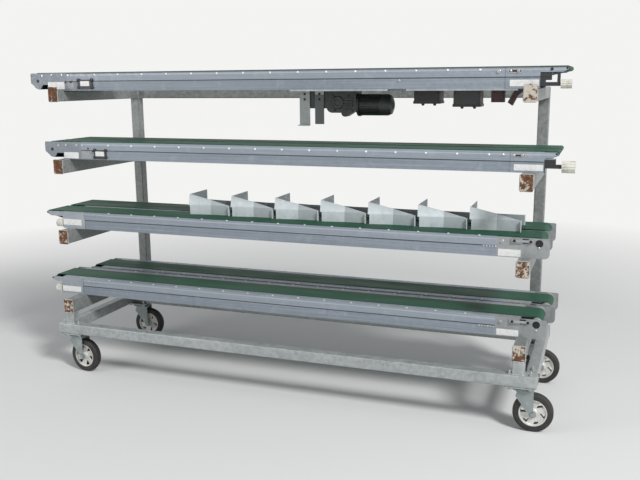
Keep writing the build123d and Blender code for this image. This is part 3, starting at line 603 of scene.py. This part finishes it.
# Bolts of the castors: their places from the swivel axis and their thread
castor_bolts = ((-0.052, -0.042), (0.052, -0.042), (-0.052, 0.042), (0.052, 0.042))
bolt_thread = 0.010
castor_plate_t = 0.006
rails = [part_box(f"base_{name}") for name in ("front_rail", "rear_rail", "castor_rail")]
cross_low, cross_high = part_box("base_cross_rails")
rails += [(Vector((x, cross_low.y, 0)), Vector((x + section, cross_high.y, 0)))
          for x in (cross_low.x, cross_high.x - section)]
rail_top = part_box("base_front_rail")[1].z
pad_low, pad_high = (corner.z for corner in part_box("castor_pads"))


def castor_fixings(bm):
    """Heads under the castors' plates, and studs with nuts above the pad or the rail."""
    for joint in frame["joints"]:
        if not joint["name"].startswith("swivel"):
            continue
        for dx, dy in castor_bolts:
            x, y = joint["pos_m"][0] + dx, joint["pos_m"][1] + dy
            fix(bm, "hex", (x, y, pad_low - castor_plate_t), (0, 0, -1), bolt_thread)
            under = any(low.x < x < high.x and low.y < y < high.y for low, high in rails)
            fix(bm, "stud", (x, y, rail_top if under else pad_high), (0, 0, 1), bolt_thread)


# Screws along the conveyors. Columns: conveyor, first X, last X, on which face, inset from its edge
screw_pitch = 0.1545
screw_rows = (
    (1, -1.073, 1.16, "near", 0.012), (1, -1.073, 1.16, "far", 0.012),
    (2, -1.020, 1.18, "near", 0.017), (2, -1.020, 1.18, "far", 0.017),
    (3, -1.056, 1.12, "near_top", 0.0045), (3, -1.056, 1.12, "far_top", 0.0045),
    (4, -1.124, 1.12, "near_top", 0.008), (4, -1.124, 1.12, "far_top", 0.008),
)
# Rows between the two conveyors of the lowest tier. Columns: first X, last X, Y
inner_screw_rows = ((-1.084, 1.12, far_lane_y + 0.006), (-1.10, 1.12, far_lane_y - 0.036))
strip_screw = 0.0058


def screw_run(first, last):
    """X of the screws from the first one to where no more fits."""
    count = int((last - first) / screw_pitch) + 1
    return [first + k * screw_pitch for k in range(count)]


def strip_screws(bm):
    """Screws along the profiles' outer faces or on their tops."""
    for number, first, last, face, inset in screw_rows:
        low, high = profiles[number]
        near = face.startswith("near")
        for x in screw_run(first, last):
            if face.endswith("top"):
                y = low.y + inset if near else high.y - inset
                fix(bm, "pan", (x, y, high.z), (0, 0, 1), strip_screw)
            else:
                y = low.y if near else high.y
                fix(bm, "pan", (x, y, high.z - inset), (0, -1 if near else 1, 0), strip_screw)
    top = profiles[4][1].z
    for first, last, y in inner_screw_rows:
        for x in screw_run(first, last):
            fix(bm, "pan", (x, y, top), (0, 0, 1), strip_screw)


cover_out = 0.003           # how far covers and adjusters stand out of the profile's face
link_out = 0.0105
# Fasteners on the near faces. Columns: conveyor, X, Z, kind, size, out of the profile's face
face_fasteners = (
    (1, -1.431, 1.774, "hex", 0.0062, 0), (1, -1.363, 1.778, "hex", 0.0062, 0),
    (1, -1.294, 1.778, "hex", 0.0062, 0), (1, -1.250, 1.775, "hex", 0.0062, 0),
    (1, 0.697, 1.729, "hex", 0.0060, 0), (1, 1.177, 1.768, "hex", 0.0085, 0),
    (1, 1.268, 1.770, "hex", 0.0070, 0.0055), (1, 1.233, 1.770, "pan", 0.0060, 0.0055),
    (2, -1.363, 1.372, "hex", 0.0062, 0), (2, -1.310, 1.374, "hex", 0.0062, 0),
    (2, -1.237, 1.376, "hex", 0.0062, 0), (2, -1.195, 1.375, "hex", 0.0062, 0),
    (2, 1.209, 1.377, "pan", 0.0070, 0), (2, 1.300, 1.376, "hex", 0.0065, 0.005),
    (2, 1.262, 1.376, "pan", 0.0060, 0.005), (2, 1.418, 1.383, "pan", 0.0055, 0),
    (3, 1.220, 0.953, "socket", 0.0085, 0), (3, 1.396, 0.929, "pan", 0.0060, 0),
    (4, 1.219, 0.526, "socket", 0.0085, 0), (4, 1.396, 0.494, "pan", 0.0060, 0),
)
black_fasteners = (
    (1, 1.417, 1.776, "hex", 0.0080, 0),
    (3, 1.279, 0.9605, "socket", 0.0065, link_out), (3, 1.357, 0.9600, "socket", 0.0065, link_out),
    (4, 1.278, 0.5345, "socket", 0.0065, link_out), (4, 1.356, 0.5345, "socket", 0.0065, link_out),
    (1, -1.272, 1.737, "hex", 0.0055, 0), (1, -1.237, 1.737, "hex", 0.0055, 0),
    (2, -1.158, 1.357, "hex", 0.0050, 0), (2, -1.125, 1.343, "hex", 0.0050, 0),
)
# Short rows of rivets. Columns: conveyor, first X, last X, Z, count, size
rivet_rows = (
    (3, 1.130, 1.188, 0.925, 5, 0.0055), (4, 1.112, 1.184, 0.495, 6, 0.0055),
    (3, -1.215, -1.112, 0.964, 4, 0.0056), (4, -1.265, -1.170, 0.534, 4, 0.0056),
)
# Two bolts on the right end of the base, beside the front post
base_bolt = 0.008
base_bolt_y = -0.372
base_bolt_heights = (0.290, 0.262)


def near_fasteners(bm, rows):
    """Fasteners of one table on the conveyors' near faces."""
    for number, x, z, kind, size, out in rows:
        fix(bm, kind, (x, profiles[number][0].y - out, z), (0, -1, 0), size)


def rivets(bm):
    """Evenly spaced rivet heads between the ends of each row."""
    for number, first, last, z, count, size in rivet_rows:
        for k in range(count):
            x = first + (last - first) * k / (count - 1)
            fix(bm, "pan", (x, profiles[number][0].y, z), (0, -1, 0), size)


def base_bolts(bm):
    """Heads of the base's bolts."""
    for z in base_bolt_heights:
        fix(bm, "hex", (cross_high.x, base_bolt_y, z), (1, 0, 0), base_bolt)


# Blank labels and plates. Columns: conveyor, left, right, bottom, top, out of the profile's face
white_labels = (
    (1, -1.396, -1.281, 1.697, 1.738, 0), (1, 1.229, 1.361, 1.699, 1.729, cover_out),
    (2, -1.328, -1.226, 1.298, 1.334, 0), (2, 1.262, 1.397, 1.304, 1.334, cover_out),
    (3, -1.376, -1.246, 0.896, 0.932, cover_out), (3, 1.201, 1.310, 0.880, 0.915, 0),
    (4, -1.462, -1.326, 0.463, 0.497, cover_out), (4, 1.200, 1.310, 0.455, 0.488, 0),
)
label_t = 0.0008
label_corner = 0.003
grey_labels = ((1, -1.258, -1.218, 1.700, 1.732, 0), (2, -1.203, -1.141, 1.300, 1.342, 0))
switch_plates = ((1, -1.185, -1.088, 1.698, 1.749, 0), (2, -1.115, -1.034, 1.300, 1.350, 0))
switch_t = 0.007
switch_corner = 0.010
# Card on each of the switch plates: width, height, rounding and how far it sits above the middle
switch_card = (0.060, 0.027, 0.002, 0.004)
# Their lugs and screws: size, and insets from the sides, the bottom and, for the lugs, the top
switch_lug = 0.010
lug_insets = (0.004, 0.008, 0.001)
switch_screw = 0.0035
screw_insets = (0.008, 0.009)


def labels(bm, rows, thick, corner):
    """Rounded cards of one table on the conveyors' near faces."""
    for number, x0, x1, z0, z1, out in rows:
        at = ((x0 + x1) / 2, profiles[number][0].y - out, (z0 + z1) / 2)
        card(bm, at, (0, -1, 0), x1 - x0, z1 - z0, thick, corner)


def switch_labels(bm):
    """Blank card on each switch plate."""
    width, height, corner, above = switch_card
    for number, x0, x1, z0, z1, _ in switch_plates:
        at = ((x0 + x1) / 2, profiles[number][0].y - switch_t, (z0 + z1) / 2 + above)
        card(bm, at, (0, -1, 0), width, height, label_t, corner)


def switch_lugs(bm):
    """Round lugs at the corners of the switch plates."""
    side, bottom, top = lug_insets
    for number, x0, x1, z0, z1, _ in switch_plates:
        for x in (x0 + side, x1 - side):
            for z in (z0 + bottom, z1 - top):
                fix(bm, "gland", (x, profiles[number][0].y, z), (0, -1, 0), switch_lug)


def switch_screws(bm):
    """Two screws at the bottom of each switch plate."""
    side, bottom = screw_insets
    for number, x0, x1, z0, *_ in switch_plates:
        for x in (x0 + side, x1 - side):
            fix(bm, "pan", (x, profiles[number][0].y - switch_t, z0 + bottom), (0, -1, 0), switch_screw)


# Belt adjusters at the right ends, in the labels' columns: slotted plates on the covers of the first two
# tiers, dark cards that paint the shade in their slots, and links on the drive ends of the other two
slot_plate_t = 0.002
slot_plate_corner = 0.0088
slot_t = 0.0006
slot_corner = 0.0044
link_corner = 0.0054
slot_out = cover_out + slot_plate_t
slot_plates = ((1, 1.216, 1.286, 1.759, 1.781, cover_out), (2, 1.249, 1.317, 1.367, 1.385, cover_out))
slot_cards = ((1, 1.224, 1.280, 1.7640, 1.7740, slot_out), (2, 1.256, 1.310, 1.3710, 1.3800, slot_out))
links = ((3, 1.268, 1.368, 0.9550, 0.9660, 0), (4, 1.267, 1.367, 0.5290, 0.5400, 0))


# Drive unit. Places on the gearbox are measured from its right end to the left and from its top
# down; face_in is how far its plain front lies behind its foremost point
face_in = 0.006
gearbox_bolts = ((0.135, 0.030), (0.053, 0.026), (0.131, 0.100), (0.045, 0.098))
drive_bolt = 0.006
# Screws of the motor's flange: angles, radius of their circle, size, and their feet to the left
flange_angles = (45, 135, 225, 315)
flange_circle = 0.049
flange_screw = 0.004
flange_back = 0.0135
# Bolts of the drop plates: X, and heights over the bracket's lowest point
drop_plate_xs = (0.134, 0.218)
drop_bolt_heights = (0.168, 0.140)
# Cap: place, how far it lies behind the foremost point, and (radius, height) outline
cap_place = (0.112, 0.062)
cap_in = 0.0055
cap_outline = ((0.033, 0), (0.033, 0.006), (0.030, 0.0085), (0.017, 0.0085), (0.015, 0.006), (0, 0.006))
cap_steps = 40
# Ribs: place of the highest, count and pitch, and the rounding of their corners and of their edge
rib_place = (0.052, 0.040)
rib_count = 4
rib_pitch = 0.014
rib_l = 0.044
rib_w = 0.005
rib_round = (0.002, 0.001)


def drive_fasteners(bm):
    """Bolts of the gearbox's front and of its round flange, and of the drop plates."""
    low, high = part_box("gearbox")
    for left, down in gearbox_bolts:
        fix(bm, "hex", (high.x - left, low.y + face_in, high.z - down), (0, -1, 0), drive_bolt)
    motor_low, motor_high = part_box("motor")
    middle = (motor_low + motor_high) / 2
    for angle in flange_angles:
        y = middle.y + flange_circle * cos(radians(angle))
        z = middle.z + flange_circle * sin(radians(angle))
        fix(bm, "socket", (high.x - flange_back, y, z), (-1, 0, 0), flange_screw)
    bracket_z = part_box("drive_bracket")[0].z
    for x in drop_plate_xs:
        for above in drop_bolt_heights:
            fix(bm, "hex", (x, low.y, bracket_z + above), (0, -1, 0), drive_bolt)


def gearbox_cap(bm):
    """Round cap over the gearbox's output, and ribs beside it."""
    low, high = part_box("gearbox")
    left, down = cap_place
    turned(bm, (high.x - left, low.y + cap_in, high.z - down), (0, -1, 0), cap_outline, cap_steps)
    left, down = rib_place
    for k in range(rib_count):
        rib = (high.x - left, low.y + face_in, high.z - down - rib_pitch * k)
        card(bm, rib, (0, -1, 0), rib_l, rib_w, rib_w, *rib_round)


# Grille: radius and sides of its wire, count, spacing and steps of its rings, and its spokes, whose
# ends and tips are measured from the middle
wire = 0.0011
wire_sides = 6
grille_rings = 4
grille_spacing = 0.006
grille_steps = 32
grille_spokes = 6
spoke_ends = (0.003, 0.0255)
spoke_tip = 0.027


def fan_grille(bm):
    """Rings and spokes over the fan cover's end."""
    low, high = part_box("motor_fan_cover")
    centre = Vector((high.x, (low.y + high.y) / 2, (low.z + high.z) / 2))
    for k in range(grille_rings):
        radius = grille_spacing * (k + 1)
        angles = [2 * pi * i / wire_sides for i in range(wire_sides)]
        outline = [(radius + wire * cos(a), wire * sin(a)) for a in angles]
        turned(bm, centre, (1, 0, 0), outline, grille_steps, True)
    for k in range(grille_spokes):
        angle = 2 * pi * k / grille_spokes
        reach = Vector((0, cos(angle), sin(angle)))
        spin = facing(reach, (1, 0, 0))
        foot = bm.verts.new(centre)
        sides = [ring(bm, centre + reach * end, spin, wire, 0, wire_sides) for end in spoke_ends]
        loft(bm, [[foot], *sides, [bm.verts.new(centre + reach * spoke_tip)]])


# Control boxes: left, right and bottom of each, in the machine's frame
boxes = ((0.733, 0.864, 1.613), (0.935, 1.068, 1.598), (1.122, 1.185, 1.620))
box_top = 1.680
box_low, box_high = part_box("control_boxes")
box_middle = (box_low.y + box_high.y) / 2
lid_t = 0.0035
lid_margins = (0.004, 0.006)        # what a lid is narrower and lower than its box
lid_round = (0.006, 0.0012)         # rounding of its corners and of its edge
lip_h = 0.0135
lip_round = (0.004, 0.001)
lip_over = (0.007, 0.012)           # what a lip is wider and deeper than its box
lip_top = 0.013                     # above the box's bottom
box_screw = 0.0035
box_screw_insets = (0.011, 0.013)
box_gland = 0.009
gland_inset = 0.035


def box_lids(bm):
    """Lid on the front of each box."""
    for x0, x1, z0 in boxes:
        at = ((x0 + x1) / 2, box_low.y, (z0 + box_top) / 2)
        width = x1 - x0 - lid_margins[0]
        card(bm, at, (0, -1, 0), width, box_top - z0 - lid_margins[1], lid_t, *lid_round)


def box_lips(bm):
    """Wider lips round the bottoms of the first two boxes."""
    depth = box_high.y - box_low.y + lip_over[1]
    for x0, x1, z0 in boxes[:2]:
        at = ((x0 + x1) / 2, box_middle, z0 + lip_top)
        card(bm, at, (0, 0, -1), x1 - x0 + lip_over[0], depth, lip_h, *lip_round, (0, 1, 0))


def box_screws(bm):
    """Screw in each corner of the lids."""
    side, end = box_screw_insets
    for x0, x1, z0 in boxes:
        for x in (x0 + side, x1 - side):
            for z in (z0 + end, box_top - end):
                fix(bm, "pan", (x, box_low.y - lid_t, z), (0, -1, 0), box_screw)


def box_glands(bm):
    """Two glands below each of the first two boxes."""
    for x0, x1, z0 in boxes[:2]:
        for x in (x0 + gland_inset, x1 - gland_inset):
            fix(bm, "gland", (x, box_middle, z0), (0, 0, -1), box_gland)


# Wheels. Half outlines of the tyre and the disc as (radius, offset from the middle)
tyre_half = ((0.0703, 0.0215), (0.0725, 0.0230), (0.0860, 0.0229), (0.0912, 0.0222), (0.0950, 0.0205),
             (0.0977, 0.0178), (0.0992, 0.0145), (0.0998, 0.0112), (0.0998, 0.0090), (0.0974, 0.0084),
             (0.0974, 0.0070), (0.0999, 0.0064), (0.1000, 0.0020))
disc_half = ((0.0083, 0.0290), (0.0185, 0.0290), (0.0205, 0.0275), (0.0220, 0.0150), (0.0245, 0.0132),
             (0.0325, 0.0130), (0.0340, 0.0130), (0.0602, 0.0130), (0.0608, 0.0134), (0.0620, 0.0150),
             (0.0630, 0.0198), (0.0645, 0.0210), (0.0690, 0.0210), (0.0697, 0.0203))
slot_ring = 6               # place in the disc's half outline where its openings begin
disc_steps = 72
slot_every = 12             # steps from one opening to the next
slot_steps = 5              # width of an opening's outer end in steps
slot_narrow = 0.25          # share of that width at its inner end
tyre_steps = 96


def both_sides(half):
    """Whole outline from its half, mirrored to the other side."""
    return list(half) + [(radius, -offset) for radius, offset in reversed(half)]


def tyre(bm, at, axis):
    """Tyre with rounded shoulders and a groove near each side of its tread."""
    turned(bm, at, axis, both_sides(tyre_half), tyre_steps, True)


def wedge(i):
    """Step of a vertex on the openings' inner ends, which are narrow."""
    first, phase = i - i % slot_every, i % slot_every
    narrow = slot_steps * slot_narrow
    if phase <= slot_steps:
        return first + phase * slot_narrow
    return first + narrow + (phase - slot_steps) * (slot_every - narrow) / (slot_every - slot_steps)


def slot_rings(bm, at, axis):
    """Rings of the disc's whole outline, and the last one's place."""
    spin = facing(axis)
    outline = both_sides(disc_half)
    last = len(outline) - 1
    narrow = (slot_ring, last - slot_ring)
    rings = [ring(bm, Vector(at), spin, radius, offset, disc_steps, wedge if k in narrow else float)
             for k, (radius, offset) in enumerate(outline)]
    return rings, last


def wheel_disc(bm, at, axis):
    """Turned disc with a lip, a hub and openings right through."""
    rings, last = slot_rings(bm, at, axis)
    open_bands = (slot_ring, last - slot_ring - 1)
    for k, low in enumerate(rings):
        high = rings[(k + 1) % len(rings)]
        for i in range(disc_steps):
            if k in open_bands and i % slot_every < slot_steps:
                continue
            j = (i + 1) % disc_steps
            bm.faces.new((low[i], low[j], high[j], high[i]))


def slot_walls(bm, at, axis):
    """Walls of the openings in the disc, black: painted shade in the openings."""
    rings, last = slot_rings(bm, at, axis)
    inner, outer = rings[slot_ring], rings[slot_ring + 1]
    far_inner, far_outer = rings[last - slot_ring], rings[last - slot_ring - 1]
    for first in range(0, disc_steps, slot_every):
        end = first + slot_steps
        for i in range(first, end):
            bm.faces.new((inner[i + 1], inner[i], far_inner[i], far_inner[i + 1]))
            bm.faces.new((outer[i], outer[i + 1], far_outer[i + 1], far_outer[i]))
        bm.faces.new((inner[first], outer[first], far_outer[first], far_inner[first]))
        bm.faces.new((outer[end], inner[end], far_inner[end], far_outer[end]))
    bmesh.ops.delete(bm, geom=[vert for vert in bm.verts if not vert.link_faces], context="VERTS")


washer_reach = 0.036        # from the wheel's middle to a washer's foot
washer_outline = ((0.0135, 0), (0.0175, 0), (0.0175, 0.0016), (0.0170, 0.0020), (0.0135, 0.0020))
washer_steps = 28


def axle_washers(bm, at, axis):
    """Washers around the axle's ends."""
    for side in (-1, 1):
        out = Vector(axis) * side
        turned(bm, Vector(at) + out * washer_reach, out, washer_outline, washer_steps, True)


def wheels():
    """Tyre, disc, openings and washers of every wheel, at its joint."""
    for joint in frame["joints"]:
        if not joint["name"].startswith("roll_"):
            continue
        corner = joint["name"].replace("roll_", "")
        body = joint["child"]
        rubber = piece(f"tread_{corner}", body, "tyre", "tyre", tyre, joint["pos_m"], joint["axis"])
        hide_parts(f"tyre_{corner}")
        disc = piece(f"disc_{corner}", body, "rim", "rim", wheel_disc, joint["pos_m"], joint["axis"])
        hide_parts(f"rim_{corner}")
        # The openings' walls are black, painted shade
        piece(f"openings_{corner}", body, "moulding", "rim", slot_walls, joint["pos_m"], joint["axis"])
        piece(f"washers_{corner}", joint["parent"], "bars", "zinc", axle_washers,
              joint["pos_m"], joint["axis"])


def details():
    """Every added piece of the rack, then the wheels."""
    piece("rack_welds", "rack", "galvanised", "galvanised", rack_welds)
    piece("castor_fixings", "rack", "fastener", "zinc", castor_fixings)
    piece("base_bolts", "rack", "black_fastener", "roller", base_bolts)
    piece("strip_screws", "rack", "screw", "zinc", strip_screws)
    piece("end_fasteners", "rack", "fastener", "zinc", near_fasteners, face_fasteners)
    piece("black_fasteners", "rack", "black_fastener", "roller", near_fasteners, black_fasteners)
    piece("rivet_rows", "rack", "link", "zinc", rivets)
    piece("white_labels", "rack", "label", "knob", labels, white_labels, label_t, label_corner)
    piece("grey_labels", "rack", "label_grey", "plate", labels, grey_labels, label_t, label_corner)
    piece("switch_plates", "rack", "moulding", "box_plastic", labels, switch_plates, switch_t,
          switch_corner)
    piece("switch_labels", "rack", "label", "knob", switch_labels)
    piece("switch_lugs", "rack", "moulding", "box_plastic", switch_lugs)
    piece("switch_screws", "rack", "fastener", "zinc", switch_screws)
    piece("slot_plates", "rack", "link", "plate", labels, slot_plates, slot_plate_t, slot_plate_corner)
    # Dark cards in the slots, painted shade
    piece("slot_openings", "rack", "moulding", "roller", labels, slot_cards, slot_t, slot_corner)
    piece("adjuster_links", "rack", "link", "plate", labels, links, link_out, link_corner)
    piece("drive_fasteners", "rack", "black_fastener", "roller", drive_fasteners)
    piece("gearbox_cap", "rack", "motor_paint", "motor_paint", gearbox_cap)
    piece("fan_grille", "rack", "motor_paint", "motor_paint", fan_grille)
    piece("box_lids", "rack", "box_plastic", "box_plastic", box_lids)
    piece("box_lips", "rack", "box_plastic", "box_plastic", box_lips)
    piece("box_screws", "rack", "black_fastener", "roller", box_screws)
    piece("box_glands", "rack", "moulding", "box_plastic", box_glands)
    wheels()


# Studio
floor_half = 30
floor_colour = (0.74, 0.74, 0.73)
fade_from, fade_to = 2.6, 6.0       # distance over which the floor turns into the backdrop
sky_colour = (0.82, 0.85, 0.88)
sky_strength = 0.44
# Lamps: name, place, what they point at, diameter and power in watts
lamps = (
    ("key", (8.6, -6.4, 8.8), (0.1, 0, 0.8), 3.0, 1480),
    ("fill", (-4.5, -4.0, 2.6), (0, 0, 0.8), 3.0, 70),
)


def floor():
    """Pale floor that keeps the shadow and fades into the backdrop far away."""
    mesh = bpy.data.meshes.new("floor")
    h = floor_half
    mesh.from_pydata([(-h, -h, 0), (h, -h, 0), (h, h, 0), (-h, h, 0)], [], [(0, 1, 2, 3)])
    ground = bpy.data.objects.new("floor", mesh)
    bpy.context.scene.collection.objects.link(ground)
    material, tree, shader = start("floor_paint", 0.9, 0.0, 0.1)
    shader.inputs["Base Color"].default_value = (*floor_colour, 1)
    length = tree.nodes.new("ShaderNodeVectorMath")
    length.operation = "LENGTH"
    tree.links.new(place(tree), length.inputs[0])
    far = remap(tree, length.outputs["Value"], fade_from, fade_to)
    path = tree.nodes.new("ShaderNodeLightPath")
    seen = calc(tree, "MAXIMUM", path.outputs["Is Camera Ray"], path.outputs["Is Glossy Ray"])
    glow = tree.nodes.new("ShaderNodeEmission")
    glow.inputs["Color"].default_value = (*backdrop, 1)
    blend = tree.nodes.new("ShaderNodeMixShader")
    tree.links.new(calc(tree, "MULTIPLY", far, seen), blend.inputs["Fac"])
    tree.links.new(shader.outputs[0], blend.inputs[1])
    tree.links.new(glow.outputs[0], blend.inputs[2])
    tree.links.new(blend.outputs[0], tree.nodes["Material Output"].inputs["Surface"])
    mesh.materials.append(material)


def lamp(name, at, towards, size, power):
    """Round area lamp."""
    data = bpy.data.lights.new(name, "AREA")
    data.shape = "DISK"
    data.size = size
    data.energy = power
    made = bpy.data.objects.new(name, data)
    bpy.context.scene.collection.objects.link(made)
    made.location = at
    made.rotation_euler = (Vector(towards) - Vector(at)).to_track_quat("-Z", "Y").to_euler()


def studio():
    """Soft light from high on the right, a weak fill from the left and a pale world."""
    for row in lamps:
        lamp(*row)
    world = bpy.data.worlds.new("studio")
    bpy.context.scene.world = world
    world.use_nodes = True
    tree = world.node_tree
    soft = tree.nodes["Background"]
    soft.inputs["Color"].default_value = (*sky_colour, 1)
    soft.inputs["Strength"].default_value = sky_strength
    seen = tree.nodes.new("ShaderNodeBackground")
    seen.inputs["Color"].default_value = (*backdrop, 1)
    path = tree.nodes.new("ShaderNodeLightPath")
    blend = tree.nodes.new("ShaderNodeMixShader")
    visible = calc(tree, "MAXIMUM", path.outputs["Is Camera Ray"], path.outputs["Is Glossy Ray"])
    tree.links.new(visible, blend.inputs["Fac"])
    tree.links.new(soft.outputs[0], blend.inputs[1])
    tree.links.new(seen.outputs[0], blend.inputs[2])
    tree.links.new(blend.outputs[0], tree.nodes["World Output"].inputs["Surface"])


def camera():
    """Camera of the photograph's view."""
    data = bpy.data.cameras.new("camera")
    data.lens = camera_lens
    data.sensor_width = camera_sensor
    made = bpy.data.objects.new("camera", data)
    bpy.context.scene.collection.objects.link(made)
    made.location = camera_at
    made.rotation_euler = [radians(angle) for angle in camera_angles]
    bpy.context.scene.camera = made


details()
floor()
studio()
camera()
bpy.context.scene.view_settings.view_transform = "Standard"
